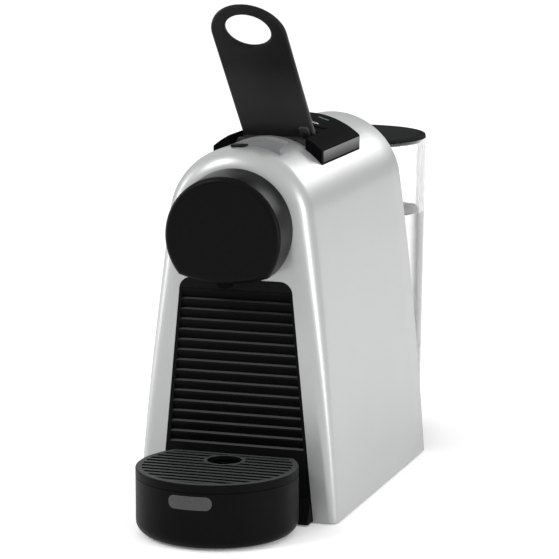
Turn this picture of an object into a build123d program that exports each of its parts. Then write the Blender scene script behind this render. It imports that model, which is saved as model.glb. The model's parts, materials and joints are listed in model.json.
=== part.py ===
"""Pod coffee machine: a narrow arched body with a round outlet drum, a lift-up lever,
a ribbed capsule drawer with a round drip tray, and a clear water tank behind.

Millimetres, +Z up, -Y is the machine's front. The origin is the middle of the whole
machine's footprint, on the surface that it stands on. The lever is modelled raised.
"""

import os
from math import cos, degrees, radians, sin, sqrt, tan

from build123d import *

os.makedirs("parts", exist_ok=True)

# ---- driving dimensions -------------------------------------------------------------
DEPTH = 325.0  # drip tray's front to the tank's back
GAP = 0.4  # between pieces that move past each other
FIT = 0.1  # between pieces that are fixed together

# Arched shell
SHELL_FRONT = -91.0
SHELL_REAR = 81.0
SHELL_BASE = 0.8
SHELL_WALL = 2.5
SHELL_FRONT_WALL = 6.0
SHELL_EDGE = 8.0  # rounding of the front edge
CROWN_RADIUS = 39.7
CROWN_Z = 154.8  # centre of the crown's arc
SHOULDER_ANGLE = 7.6  # where crown and flank meet, degrees above level
FLANK_RADIUS = 2330.0  # the flanks bulge very slightly

# Opening in the shell's front
OPENING_HALF = 42.5  # at the floor
OPENING_SLOPE = 0.09  # how much narrower, per mm of height
OPENING_TOP = 126.6
OPENING_CORNER = 7.0

# Capsule slot in the crown
SLOT_FRONT = -75.0
SLOT_STEP = (-67.5, -64.5)  # between the flange's wide part and the cup's narrow part
SLOT_REAR = -43.0
SLOT_BACK = -39.5  # the arched rear edge's farthest point
SLOT_HALF_FLANGE = 19.0
SLOT_HALF_CUP = (15.3, 13.3)  # at the step and at the rear
BRIDGE_REAR = -34.6  # the crown's strip between the slot and the lever's channel

# Black insert on top, with the control panel
INSERT_FRONT = -39.0
INSERT_REAR = 30.0
INSERT_HALF = 30.3
INSERT_BASE = 173.0
INSERT_TOP_RADIUS = 46.0
INSERT_TOP_CENTRE = 153.7
INSERT_EDGE = 0.8
CHANNEL_HALF = 21.2  # the lever's channel between the two cheeks
CHANNEL_RADIUS = 14.0  # round the pivot
CHANNEL_FLOOR = 163.0
PANEL_SKIN = 3.0

# Lever
PIVOT_Y = -26.6
PIVOT_Z = 186.0
LEVER_RAISED = 49.4  # degrees above level
LEVER_HALF = 20.3
LEVER_REACH = 97.1
LEVER_UNDER = 9.57  # underside of the plate above the pivot when closed
LEVER_THICK = 3.2
LEVER_EDGE = 1.2  # rounding of the plate's outline and of its hole
LEVER_HOLE = (23.5, 24.5)  # finger hole, along and across
LEVER_HOLE_AT = 79.5
AXLE_RADIUS = 2.5
BORE_CLEARANCE = 0.05

# Linkage and brewing carriage
PIN_DROP = 28.0  # cross pin's height below the pivot
PIN_RADIUS = 2.0
CRANK_X = (14.5, 17.5)
CRANK_REACH = 36.0
BREW_Z = 136.0  # brewing axis
PLATE_FRONT = -77.0  # extraction plate with the lever raised
PLATE_THICK = 6.0
ARM_X = (22.0, 25.0)
ARM_Z = (152.0, 164.0)
HEAD_FRONT = -43.0
HEAD_REAR = -14.0
HEAD_RADIUS = 19.5
TUBE_Z = 146.0
TUBE_MOUTH = -105.7

# Outlet drum and spout
DRUM_REAR_DISC = (153.2, 31.1)  # centre's height and radius at the shell
DRUM_FACE_DISC = (151.3, 31.2)
DRUM_FRONT = -113.0
DRUM_EDGE = 3.0
DRUM_SKIN = 2.6
DRUM_FACE_WALL = 3.2
DRUM_UNDER = 127.5  # the underside's lowest line
DRUM_UNDER_RADIUS = 75.0  # it is almost flat from side to side
SPOUT_Y = -107.0
SPOUT_RADIUS = 4.0
SPOUT_BORE = 1.8
SPOUT_BOTTOM = 125.0

# Base and chassis
FOOT_HEIGHT = 3.0
PLATE_TOP = 6.0
CHASSIS_X = (28.0, 30.5)
CHASSIS_FRONT = SHELL_FRONT + SHELL_FRONT_WALL
CHASSIS_REAR = 52.0

# Capsule drawer
DRAWER_FACE = -90.6
DRAWER_BACK = -86.4
DRAWER_TOP = 120.6
BIN_HALF = 31.5
BIN_REAR = -20.0
BIN_TOP = 106.0
BIN_WALL = 1.8
RIB_PITCH = 5.46
RIB_TOP = 119.8
RIB_COUNT = 16
RIB_DEPTH = 2.6
RIB_FRAME = 1.6
TOE_FRONT = -98.5
TOE_TOP = 13.0

# Drip tray
TRAY_RADIUS = 41.9
TRAY_Y = TRAY_RADIUS + 0.3 - DEPTH / 2
TRAY_BACK = -94.3
TRAY_TOP = 30.2
TRAY_BOTTOM = 0.6
TRAY_WALL = 2.2
TRAY_FLOOR = 9.0
GRID_TOP = 34.9
GRID_PITCH = 5.6
GRID_SLOT = 3.0
GRID_DRAIN = 9.0  # radius of the round drain hole
GRID_DRAIN_Y = -109.0
TONGUE = (19.6, 2.2, 5.8)  # half width, low, high
BADGE = (23.0, 7.0, 25.2)  # width, height, middle height

# Water tank
TANK_RADIUS = 42.0
TANK_Y = DEPTH / 2 - TANK_RADIUS
TANK_FLAT = 84.0
TANK_WALL = 2.5
TANK_BOTTOM = 14.0
TANK_TOP = 175.3
TANK_DRAFT = 0.8  # degrees
LID_TOP = 177.2
LID_PLUG = 2.0  # how deep it sits inside the tank's wall
LID_GROOVE = 2.6  # the lid's ring groove, in from its edge
VALVE_Y = 98.0

# Buttons
BUTTON_X = 14.0
BUTTON_Y = -1.0
BUTTON_RADIUS = 6.5
BUTTON_PROUD = 0.5

# Water circuit
PUMP_Z = 45.0
PUMP_RADIUS = 16.0
PUMP_Y = (0.0, 60.0)
HEATER_Y = (-7.0, 43.0)
HEATER_Z = (112.0, 168.0)
HOSE_RADIUS = 3.0
HOSE_BEND = 4.0
METER = (18.0, 66.0)  # flow meter's place in plan

FLANK_CENTRE_X = (CROWN_RADIUS - FLANK_RADIUS) * cos(radians(SHOULDER_ANGLE))
FLANK_CENTRE_Z = CROWN_Z + (CROWN_RADIUS - FLANK_RADIUS) * sin(radians(SHOULDER_ANGLE))
PIN_TRAVEL = PIN_DROP * tan(radians(LEVER_RAISED / 2))
CARRIAGE_PIN_Y = PIVOT_Y - PIN_TRAVEL


# ---- helpers ------------------------------------------------------------------------
def across(y):
    """Sketch plane facing the front, (x, z) in the sketch; extrude goes forwards."""
    return Plane((0, y, 0), x_dir=(1, 0, 0), z_dir=(0, -1, 0))


def side(x):
    """Sketch plane facing the right side, (y, z) in the sketch; extrude goes to +X."""
    return Plane((x, 0, 0), x_dir=(0, 1, 0), z_dir=(1, 0, 0))


def level(z):
    """Sketch plane facing up, (x, y) in the sketch."""
    return Plane.XY.offset(z)


def write(builder, name):
    """Label a finished piece and write it."""
    builder.part.label = name
    export_step(builder.part, f"parts/{name}.step")


def flank(inset, z):
    """A point of the right flank at a height, with the arch shrunk by the inset."""
    radius = FLANK_RADIUS - inset
    return (FLANK_CENTRE_X + sqrt(radius**2 - (z - FLANK_CENTRE_Z) ** 2), z)


def flipped(point):
    """The same sketch point on the left side."""
    return (-point[0], point[1])


def arch(inset, base):
    """The machine's arched outline, shrunk by the inset, as an (x, z) sketch."""
    radius = CROWN_RADIUS - inset
    angle = radians(SHOULDER_ANGLE)
    shoulder = (radius * cos(angle), CROWN_Z + radius * sin(angle))
    foot = flank(inset, base)
    middle = flank(inset, (base + shoulder[1]) / 2)
    with BuildSketch() as outline:
        with BuildLine():
            ThreePointArc(foot, middle, shoulder)
            ThreePointArc(shoulder, (0, CROWN_Z + radius), flipped(shoulder))
            ThreePointArc(flipped(shoulder), flipped(middle), flipped(foot))
            Line(flipped(foot), foot)
        make_face()
    return outline.sketch


def opening(inset, low, high, corner=0.0):
    """The front opening's tapered outline, shrunk by the inset, between two heights."""
    low_half = OPENING_HALF - OPENING_SLOPE * low - inset
    high_half = OPENING_HALF - OPENING_SLOPE * high - inset
    with BuildSketch() as outline:
        with BuildLine():
            Polyline(
                (-low_half, low), (low_half, low), (high_half, high), (-high_half, high),
                close=True,
            )
        make_face()
        if corner:
            fillet(outline.vertices().sort_by(Axis.Y)[-2:], corner)
    return outline.sketch


def slot_outline(grow):
    """The capsule slot in plan, grown by an amount."""
    flange = SLOT_HALF_FLANGE + grow
    waist, rear = [half + grow for half in SLOT_HALF_CUP]
    corner = (rear, SLOT_REAR + grow)
    right = [
        (flange, SLOT_FRONT - grow), (flange, SLOT_STEP[0] + grow), (waist, SLOT_STEP[1] + grow),
        corner,
    ]
    left = [flipped(point) for point in reversed(right)]
    with BuildSketch() as outline:
        with BuildLine():
            Polyline(*left, *right)
            ThreePointArc(corner, (0, SLOT_BACK + grow), flipped(corner))
        make_face()
    return outline.sketch


def insert_profile(inset):
    """The top insert's section: upright sides and an arched top."""
    half = INSERT_HALF - inset
    radius = INSERT_TOP_RADIUS - inset
    top = INSERT_TOP_CENTRE + sqrt(radius**2 - half**2)
    with BuildSketch() as outline:
        with BuildLine():
            Polyline((-half, top), (-half, INSERT_BASE), (half, INSERT_BASE), (half, top))
            ThreePointArc((half, top), (0, INSERT_TOP_CENTRE + radius), (-half, top))
        make_face()
    return outline.sketch


def rod(start, end, radius, mode=Mode.ADD):
    """A round bar between two points, in the current part."""
    path = Vector(*end) - Vector(*start)
    with BuildSketch(Plane(origin=start, z_dir=path)) as disc:
        Circle(radius)
    extrude(disc.sketch, amount=path.length, mode=mode)


def hose(points):
    """A silicone hose along a route of straight runs and tangent bends."""
    with BuildPart() as tube:
        with BuildLine() as route:
            FilletPolyline(*points, radius=HOSE_BEND)
        with BuildSketch(Plane(origin=route.line @ 0, z_dir=route.line % 0)):
            Circle(HOSE_RADIUS)
            Circle(HOSE_RADIUS - 1.2, mode=Mode.SUBTRACT)
        sweep()
    return tube


def block(x, y, z, mode=Mode.ADD):
    """A box between low and high places on each axis, in the current part."""
    centre = [(low + high) / 2 for low, high in (x, y, z)]
    with Locations(tuple(centre)):
        Box(x[1] - x[0], y[1] - y[0], z[1] - z[0], mode=mode)


def both_sides(x):
    """The same x range on the right and on the left."""
    return (x, (-x[1], -x[0]))


# ---- arched shell and its rear cover ------------------------------------------------
COVER_SCREWS = [(sx * x, z) for sx in (-1, 1) for x, z in ((48.2, 20.0), (35.0, 150.0))]
COVER_THICK = 3.0
BOSS_LENGTH = 12.0
GLAND = (-34.0, 22.0)  # cord gland in the rear cover

with BuildPart() as outer_shell:
    with BuildSketch(across(SHELL_REAR)):
        add(arch(0, SHELL_BASE))
    extrude(amount=SHELL_REAR - SHELL_FRONT)
    rim = outer_shell.edges().filter_by_position(Axis.Y, SHELL_FRONT, SHELL_FRONT)
    fillet(rim.sort_by(Axis.Z)[1:], SHELL_EDGE)
    back_rim = outer_shell.edges().filter_by_position(Axis.Y, SHELL_REAR, SHELL_REAR)
    fillet(back_rim.sort_by(Axis.Z)[1:], 1.2)
    with BuildSketch(across(SHELL_REAR)):
        add(arch(SHELL_WALL, SHELL_BASE - 1))
    extrude(amount=SHELL_REAR - SHELL_FRONT - SHELL_FRONT_WALL, mode=Mode.SUBTRACT)
    with BuildSketch(across(SHELL_REAR - COVER_THICK)):
        with Locations(*COVER_SCREWS):
            Circle(4)
    extrude(amount=BOSS_LENGTH)
    with BuildSketch(across(SHELL_REAR - COVER_THICK)):
        with Locations(*COVER_SCREWS):
            Circle(1.5)
    extrude(amount=BOSS_LENGTH - 2, mode=Mode.SUBTRACT)
    with BuildSketch(across(CHASSIS_FRONT)):
        add(opening(0, SHELL_BASE - 1, OPENING_TOP, OPENING_CORNER))
        with Locations((0, 140.5)):
            RectangleRounded(16.6, 23, 3)
    extrude(amount=SHELL_FRONT_WALL, mode=Mode.SUBTRACT)
    with BuildSketch(level(CROWN_Z)):
        add(slot_outline(0))
        with Locations((0, (INSERT_FRONT + INSERT_REAR) / 2)):
            Rectangle(2 * (INSERT_HALF + FIT), INSERT_REAR - INSERT_FRONT + 2 * FIT)
        with Locations((0, BRIDGE_REAR)):
            Rectangle(
                2 * (CHANNEL_HALF - FIT), 10, align=(Align.CENTER, Align.MAX), mode=Mode.SUBTRACT
            )
        add(slot_outline(0))
    extrude(amount=CROWN_RADIUS + 1, mode=Mode.SUBTRACT)
write(outer_shell, "outer_shell")

with BuildPart() as rear_cover:
    with BuildSketch(across(SHELL_REAR)):
        add(arch(SHELL_WALL + FIT, PLATE_TOP + FIT))
        with Locations(*COVER_SCREWS):
            Circle(1.6, mode=Mode.SUBTRACT)
        with Locations(GLAND):
            Circle(5, mode=Mode.SUBTRACT)
        with Locations((0, PLATE_TOP)):
            Rectangle(21, 18, mode=Mode.SUBTRACT)
        with GridLocations(0, 5, 1, 8):
            with Locations((0, 105)):
                SlotOverall(30, 2.2, mode=Mode.SUBTRACT)
    extrude(amount=COVER_THICK)
write(rear_cover, "rear_cover")

with BuildPart() as cover_screws:
    for x, z in COVER_SCREWS:
        rod((x, SHELL_REAR + 1.6, z), (x, SHELL_REAR, z), 3.0)
        rod((x, SHELL_REAR, z), (x, SHELL_REAR - 10, z), 1.45)
write(cover_screws, "cover_screws")

with BuildPart() as cord_gland:
    x, z = GLAND
    rod((x, SHELL_REAR - 6, z), (x, SHELL_REAR + 6, z), 4.9)
    rod((x, SHELL_REAR + 0.1, z), (x, SHELL_REAR + 2, z), 7)
    rod((x, SHELL_REAR - 6, z), (x, SHELL_REAR - COVER_THICK - 0.1, z), 6.5)
    rod((x, SHELL_REAR - 7, z), (x, SHELL_REAR + 7, z), 3.2, mode=Mode.SUBTRACT)
write(cord_gland, "cord_gland")

# ---- base plate with the tank's platform, feet and screws ----------------------------
BASE_SCREWS = [(sx * 24.5, y) for sx in (-1, 1) for y in (-6.0, 46.0)]
RAIL_X = (32.1, 35.0)
DOCK_HALF = 10.0

with BuildPart() as base_plate:
    half_front = flank(SHELL_WALL + FIT, FOOT_HEIGHT)[0] - 0.4
    block((-half_front, half_front), (CHASSIS_FRONT + 0.5, SHELL_REAR - 0.1), (FOOT_HEIGHT, PLATE_TOP))
    with BuildSketch(level(FOOT_HEIGHT)):
        with Locations((0, TANK_Y)):
            Circle(TANK_RADIUS - 2)
        with Locations((0, SHELL_REAR + 6)):
            Rectangle(70, 14)
    extrude(amount=PLATE_TOP - FOOT_HEIGHT)
    with BuildSketch(level(PLATE_TOP)):
        with Locations((0, TANK_Y)):
            Circle(TANK_RADIUS - 2)
        with Locations((0, TANK_FLAT - 45)):
            Rectangle(90, 90, mode=Mode.SUBTRACT)
        with Locations((0, 97)):
            Rectangle(2 * DOCK_HALF, 28, mode=Mode.SUBTRACT)
    extrude(amount=TANK_BOTTOM - GAP - PLATE_TOP)
    for x in both_sides(RAIL_X):
        block(x, (CHASSIS_FRONT + 1, -18), (PLATE_TOP, 16))
    with BuildSketch(level(FOOT_HEIGHT)):
        with Locations(*BASE_SCREWS):
            Circle(1.6)
    extrude(amount=PLATE_TOP - FOOT_HEIGHT, mode=Mode.SUBTRACT)
write(base_plate, "base_plate")

with BuildPart() as rubber_feet:
    with BuildSketch(level(0)):
        with Locations((-38, -74), (38, -74), (-38, 62), (38, 62), (0, 146)):
            Circle(7)
    extrude(amount=FOOT_HEIGHT)
write(rubber_feet, "rubber_feet")

with BuildPart() as base_screws:
    for x, y in BASE_SCREWS:
        rod((x, y, FOOT_HEIGHT - 1.8), (x, y, FOOT_HEIGHT), 3.0)
        rod((x, y, FOOT_HEIGHT), (x, y, PLATE_TOP + 7), 1.5)
write(base_screws, "base_screws")

# ---- chassis ---------------------------------------------------------------------------
CHASSIS_TOP = INSERT_BASE
CHASSIS_SHELF = 110.0  # underside of the part that reaches forward over the capsule bin
GUIDE_X = (25.6, CHASSIS_X[0])


def chassis(name, sign):
    """One side plate with a screwed foot and the carriage's two guide rails."""
    with BuildPart() as plate:
        with BuildSketch(side(CHASSIS_X[0])):
            with BuildLine():
                Polyline(
                    (-16, PLATE_TOP), (CHASSIS_REAR, PLATE_TOP), (CHASSIS_REAR, 150),
                    (40, CHASSIS_TOP), (CHASSIS_FRONT, CHASSIS_TOP),
                    (CHASSIS_FRONT, CHASSIS_SHELF), (-16, CHASSIS_SHELF),
                    close=True,
                )
            make_face()
        extrude(amount=CHASSIS_X[1] - CHASSIS_X[0])
        for low, high in ((148.4, ARM_Z[0] - GAP), (ARM_Z[1] + GAP, 167.0)):
            block(GUIDE_X, (CHASSIS_FRONT + 3, -8), (low, high))
        for _, y in BASE_SCREWS[:2]:
            block((21.4, CHASSIS_X[0]), (y - 5, y + 5), (PLATE_TOP, 15))
            rod((24.5, y, PLATE_TOP), (24.5, y, 14), 1.6, mode=Mode.SUBTRACT)
        if sign < 0:
            mirror(about=Plane.YZ, mode=Mode.REPLACE)
    write(plate, name)


chassis("chassis_right", 1)
chassis("chassis_left", -1)

# ---- black insert on top: cheeks, lever channel and control panel --------------------
AXLE_HALF = 29.0
PANEL_INNER = 27.0
LEVER_TURN = -LEVER_RAISED  # the panel's front face lies along the raised lever

with BuildPart() as top_insert:
    with BuildSketch(across(INSERT_REAR)):
        add(insert_profile(0))
    extrude(amount=INSERT_REAR - INSERT_FRONT)
    shoulders = top_insert.edges().filter_by(Axis.Y).group_by(Axis.Z)[-1]
    fillet(shoulders, INSERT_EDGE)
    with BuildSketch(side(-CHANNEL_HALF)):
        with Locations((PIVOT_Y, PIVOT_Z)):
            Circle(CHANNEL_RADIUS)
        with Locations(Location((PIVOT_Y, PIVOT_Z, 0), (0, 0, LEVER_TURN))):
            Rectangle(8, CHANNEL_RADIUS, align=(Align.MIN, Align.MIN))
            Rectangle(40, CHANNEL_RADIUS, align=(Align.MAX, Align.MIN))
        with Locations((INSERT_FRONT - 1, CHANNEL_FLOOR)):
            Rectangle(PIVOT_Y - INSERT_FRONT + 1, 60, align=(Align.MIN, Align.MIN))
            Rectangle(
                PIVOT_Y + CHANNEL_RADIUS - INSERT_FRONT + 1, PIVOT_Z - CHANNEL_FLOOR,
                align=(Align.MIN, Align.MIN),
            )
    extrude(amount=2 * CHANNEL_HALF, mode=Mode.SUBTRACT)
    with BuildSketch(across(INSERT_REAR - PANEL_SKIN)):
        add(insert_profile(PANEL_SKIN))
        with Locations((0, INSERT_BASE - 5)):
            Rectangle(2 * PANEL_INNER, 20.0)
        with Locations((PANEL_INNER + 10, 180), (-PANEL_INNER - 10, 180)):
            Rectangle(20, 60, mode=Mode.SUBTRACT)
    extrude(amount=INSERT_REAR - PANEL_SKIN + 10, mode=Mode.SUBTRACT)
    with BuildSketch(level(INSERT_BASE)):
        with Locations((BUTTON_X, BUTTON_Y), (-BUTTON_X, BUTTON_Y)):
            Circle(BUTTON_RADIUS + 0.35)
    extrude(amount=40, mode=Mode.SUBTRACT)
    rod((-AXLE_HALF, PIVOT_Y, PIVOT_Z), (AXLE_HALF, PIVOT_Y, PIVOT_Z), AXLE_RADIUS + 0.01,
        mode=Mode.SUBTRACT)
write(top_insert, "top_insert")

with BuildPart() as lever_axle:
    rod((-AXLE_HALF, PIVOT_Y, PIVOT_Z), (AXLE_HALF, PIVOT_Y, PIVOT_Z), AXLE_RADIUS)
write(lever_axle, "lever_axle")

CHUTE_BOTTOM = 170.0
CHUTE_WALL = 1.0
TAB = (8.0, 7.0, 1.4)  # rest pad in front of the slot: width, length, corner
TAB_X = -1.8
TAB_TOP = 195.15
with BuildPart() as capsule_chute:
    with BuildSketch(level(CHUTE_BOTTOM)):
        add(slot_outline(CHUTE_WALL))
    extrude(amount=30)
    with BuildSketch(across(SLOT_REAR + 5)):
        add(arch(SHELL_WALL + 0.05, 150))
    extrude(amount=SLOT_REAR - SLOT_FRONT + 10, mode=Mode.INTERSECT)
    with BuildSketch(level(CHUTE_BOTTOM)):
        add(slot_outline(0))
    extrude(amount=40, mode=Mode.SUBTRACT)
write(capsule_chute, "capsule_chute")

with BuildPart() as slot_tab:
    width, length, corner = TAB
    with BuildSketch(level(193.0)):
        with Locations((TAB_X, SLOT_FRONT - 0.4 - length / 2)):
            RectangleRounded(width, length, corner)
    extrude(amount=TAB_TOP - 193.0)
    with BuildSketch(across(SLOT_FRONT + 1)):
        add(arch(0, 150))
    extrude(amount=length + 4, mode=Mode.SUBTRACT)
write(slot_tab, "slot_tab")


# ---- lever, modelled level about its pivot and then raised ----------------------------
def raise_lever(shape):
    """Turn a shape from the closed, level position up to the raised one."""
    return shape.rotate(Axis((0, PIVOT_Y, PIVOT_Z), (1, 0, 0)), -LEVER_RAISED)


HUB_CORE = 6.0
HUB_SKIN = LEVER_UNDER + LEVER_THICK
CRANK_ANGLE = radians(LEVER_RAISED / 2)  # behind straight down when closed

with BuildPart() as closed_lever:
    with BuildSketch(level(PIVOT_Z + LEVER_UNDER)):
        with Locations((0, PIVOT_Y - (LEVER_REACH - LEVER_HALF) / 2)):
            Rectangle(2 * LEVER_HALF, LEVER_REACH - LEVER_HALF)
        with Locations((0, PIVOT_Y - (LEVER_REACH - LEVER_HALF))):
            Circle(LEVER_HALF)
        with Locations((0, PIVOT_Y - LEVER_HOLE_AT)):
            Ellipse(LEVER_HOLE[1] / 2, LEVER_HOLE[0] / 2, mode=Mode.SUBTRACT)
    extrude(amount=LEVER_THICK)
    hole_rims = closed_lever.edges().filter_by(GeomType.ELLIPSE).filter_by_position(
        Axis.Z, PIVOT_Z + LEVER_UNDER, PIVOT_Z + HUB_SKIN
    )
    outer_rims = closed_lever.faces().filter_by(Axis.Z).edges().filter_by_position(
        Axis.Y, PIVOT_Y - LEVER_REACH - 1, PIVOT_Y - 1
    )
    fillet(hole_rims + [edge for edge in outer_rims if edge not in hole_rims], LEVER_EDGE)
    with BuildSketch(side(-LEVER_HALF)):
        with Locations((PIVOT_Y, PIVOT_Z)):
            Circle(HUB_CORE)
        with BuildLine():
            Line((PIVOT_Y, PIVOT_Z), (PIVOT_Y, PIVOT_Z + HUB_SKIN))
            RadiusArc((PIVOT_Y, PIVOT_Z + HUB_SKIN), (PIVOT_Y + HUB_SKIN, PIVOT_Z), HUB_SKIN)
            Line((PIVOT_Y + HUB_SKIN, PIVOT_Z), (PIVOT_Y, PIVOT_Z))
        make_face()
    extrude(amount=2 * LEVER_HALF)
    rod((-13, PIVOT_Y, PIVOT_Z), (13, PIVOT_Y, PIVOT_Z), 7.4, mode=Mode.SUBTRACT)
    for x in both_sides(CRANK_X):
        with BuildSketch(side(x[0])):
            with Locations(Location((PIVOT_Y, PIVOT_Z, 0), (0, 0, degrees(CRANK_ANGLE) - 90))):
                SlotCenterToCenter(2 * (CRANK_REACH - 5.6), 11.2)
                with Locations((-CRANK_REACH, 0)):
                    Rectangle(2 * CRANK_REACH, 14, mode=Mode.SUBTRACT)
                with Locations(((PIN_DROP + PIN_DROP / cos(CRANK_ANGLE)) / 2, 0)):
                    SlotOverall(PIN_DROP / cos(CRANK_ANGLE) - PIN_DROP + 5.0, 5.4, mode=Mode.SUBTRACT)
        extrude(amount=x[1] - x[0])
    bore = AXLE_RADIUS + BORE_CLEARANCE
    rod((-30, PIVOT_Y, PIVOT_Z), (30, PIVOT_Y, PIVOT_Z), bore, mode=Mode.SUBTRACT)

with BuildPart() as lever_handle:
    add(raise_lever(closed_lever.part))
write(lever_handle, "lever_handle")

# ---- brewing unit: moving extraction carriage and fixed injection head ----------------
with BuildPart() as extraction_plate:
    with BuildSketch(across(PLATE_FRONT + PLATE_THICK)):
        with Locations((0, BREW_Z)):
            Circle(19)
        with Locations((0, (ARM_Z[0] + ARM_Z[1]) / 2 - 3)):
            RectangleRounded(2 * ARM_X[1], ARM_Z[1] - ARM_Z[0] + 6, 2)
    extrude(amount=PLATE_THICK)
    for x in both_sides(ARM_X):
        block(x, (PLATE_FRONT + PLATE_THICK - 1, CARRIAGE_PIN_Y + 5), ARM_Z)
    with BuildSketch(across(PLATE_FRONT)):
        with Locations((0, TUBE_Z)):
            Circle(4)
    extrude(amount=PLATE_FRONT - TUBE_MOUTH)
    rod((0, PLATE_FRONT + 2, TUBE_Z), (0, TUBE_MOUTH - 1, TUBE_Z), 2.2, mode=Mode.SUBTRACT)
    rod((-30, CARRIAGE_PIN_Y, PIVOT_Z - PIN_DROP), (30, CARRIAGE_PIN_Y, PIVOT_Z - PIN_DROP),
        PIN_RADIUS + 0.01, mode=Mode.SUBTRACT)
write(extraction_plate, "extraction_plate")

with BuildPart() as carriage_pin:
    rod((-25, CARRIAGE_PIN_Y, PIVOT_Z - PIN_DROP), (25, CARRIAGE_PIN_Y, PIVOT_Z - PIN_DROP),
        PIN_RADIUS)
write(carriage_pin, "carriage_pin")

with BuildPart() as piercing_screen:
    with BuildSketch(across(PLATE_FRONT + PLATE_THICK + 1.5)):
        with Locations((0, BREW_Z)):
            Circle(15)
            with GridLocations(5, 5, 5, 5):
                Circle(0.6, mode=Mode.SUBTRACT)
    extrude(amount=1.5)
write(piercing_screen, "piercing_screen")

SEAL_THICK = 1.5
with BuildPart() as injection_head:
    with BuildSketch(side(0)):
        with BuildLine():
            Polyline(
                (HEAD_REAR, BREW_Z), (HEAD_REAR, BREW_Z + HEAD_RADIUS),
                (HEAD_FRONT + SEAL_THICK, BREW_Z + HEAD_RADIUS),
                (HEAD_FRONT + SEAL_THICK, BREW_Z + 16.2), (HEAD_FRONT + 24, BREW_Z + 12.5),
                (HEAD_FRONT + 24, BREW_Z), close=True,
            )
        make_face()
    revolve(axis=Axis((0, 0, BREW_Z), (0, 1, 0)))
    rod((0, HEAD_REAR + 1, BREW_Z), (0, HEAD_FRONT, BREW_Z), 1.5, mode=Mode.SUBTRACT)
write(injection_head, "injection_head")

with BuildPart() as head_seal:
    with BuildSketch(across(HEAD_FRONT + SEAL_THICK)):
        with Locations((0, BREW_Z)):
            Circle(HEAD_RADIUS)
            Circle(16.2, mode=Mode.SUBTRACT)
    extrude(amount=SEAL_THICK)
write(head_seal, "head_seal")

FRAME_THICK = 6.0
with BuildPart() as brew_frame:
    inner = CHASSIS_X[0] - FIT
    block((-inner, inner), (HEAD_REAR, HEAD_REAR + FRAME_THICK), (CHASSIS_SHELF + 2, 147.0))
    block((-24, 24), (HEAD_REAR, HEAD_REAR + FRAME_THICK), (147.0, 150.0))
    rod((0, HEAD_REAR - 1, BREW_Z), (0, HEAD_REAR + 8, BREW_Z), 2.6, mode=Mode.SUBTRACT)
write(brew_frame, "brew_frame")

with BuildPart() as hot_water_tube:
    rod((0, HEAD_REAR, BREW_Z), (0, HEATER_Y[0], BREW_Z), 2.5)
    rod((0, HEAD_REAR, BREW_Z), (0, HEATER_Y[0], BREW_Z), 1.5, mode=Mode.SUBTRACT)
write(hot_water_tube, "hot_water_tube")

# ---- outlet drum, spout and coffee duct ---------------------------------------------
DRUM_FLOOR = DRUM_UNDER + DRUM_SKIN
DUCT_HALF = 7.0
DUCT_REAR = PLATE_FRONT - 1.2
DUCT_FRONT = DRUM_FRONT + DRUM_FACE_WALL + 0.2
DUCT_LOW = (DRUM_FLOOR + 0.5, DRUM_FLOOR + 3.5)  # underside at the front and at the rear
DUCT_TOP = 141.5
DUCT_WALL = 1.2


def barrel(front, inset):
    """The drum's leaning barrel with its shallow underside, shrunk by the inset."""
    with BuildPart() as solid:
        for y, (middle, radius) in ((SHELL_FRONT, DRUM_REAR_DISC), (front, DRUM_FACE_DISC)):
            with BuildSketch(across(y)):
                with Locations((0, middle)):
                    Circle(radius - inset)
        loft()
        with BuildSketch(across(SHELL_FRONT + 1)):
            with Locations((0, DRUM_UNDER + DRUM_UNDER_RADIUS)):
                Circle(DRUM_UNDER_RADIUS - inset)
        extrude(amount=SHELL_FRONT + 2 - front, mode=Mode.INTERSECT)
    return solid


outer_barrel = barrel(DRUM_FRONT, 0)
inner_barrel = barrel(DRUM_FRONT + DRUM_FACE_WALL, DRUM_SKIN)
with BuildPart() as outlet_drum:
    add(outer_barrel.part)
    fillet(outlet_drum.edges().group_by(Axis.Y)[0], DRUM_EDGE)
    add(inner_barrel.part, mode=Mode.SUBTRACT)
    rod((0, SPOUT_Y, DRUM_FLOOR + 1), (0, SPOUT_Y, SPOUT_BOTTOM), SPOUT_RADIUS + 0.05,
        mode=Mode.SUBTRACT)
write(outlet_drum, "outlet_drum")

with BuildPart() as coffee_duct:
    with BuildSketch(side(-DUCT_HALF)):
        with BuildLine():
            Polyline(
                (DUCT_FRONT, DUCT_LOW[0]), (DUCT_REAR, DUCT_LOW[1]), (DUCT_REAR, DUCT_TOP),
                (DUCT_FRONT, DUCT_TOP), close=True,
            )
        make_face()
    extrude(amount=2 * DUCT_HALF)
    with BuildSketch(side(-DUCT_HALF + DUCT_WALL)):
        with BuildLine():
            Polyline(
                (DUCT_FRONT + DUCT_WALL, DUCT_LOW[0] + 1.4), (DUCT_REAR + 1, DUCT_LOW[1] + 1.6),
                (DUCT_REAR + 1, DUCT_TOP + 5), (DUCT_FRONT + DUCT_WALL, DUCT_TOP + 5), close=True,
            )
        make_face()
    extrude(amount=2 * (DUCT_HALF - DUCT_WALL), mode=Mode.SUBTRACT)
    rod((0, SPOUT_Y, DUCT_LOW[0] + 3), (0, SPOUT_Y, SPOUT_BOTTOM), SPOUT_BORE, mode=Mode.SUBTRACT)
write(coffee_duct, "coffee_duct")

with BuildPart() as coffee_spout:
    rod((0, SPOUT_Y, DRUM_FLOOR + 0.1), (0, SPOUT_Y, SPOUT_BOTTOM), SPOUT_RADIUS)
    chamfer(coffee_spout.edges().group_by(Axis.Z)[0], 1.0)
    rod((0, SPOUT_Y, DUCT_TOP), (0, SPOUT_Y, SPOUT_BOTTOM - 1), SPOUT_BORE, mode=Mode.SUBTRACT)
write(coffee_spout, "coffee_spout")

# ---- capsule drawer: ribbed front, bin and the tongue that carries the tray --------------
BEZEL_LOW = DRAWER_TOP + 0.3

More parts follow.
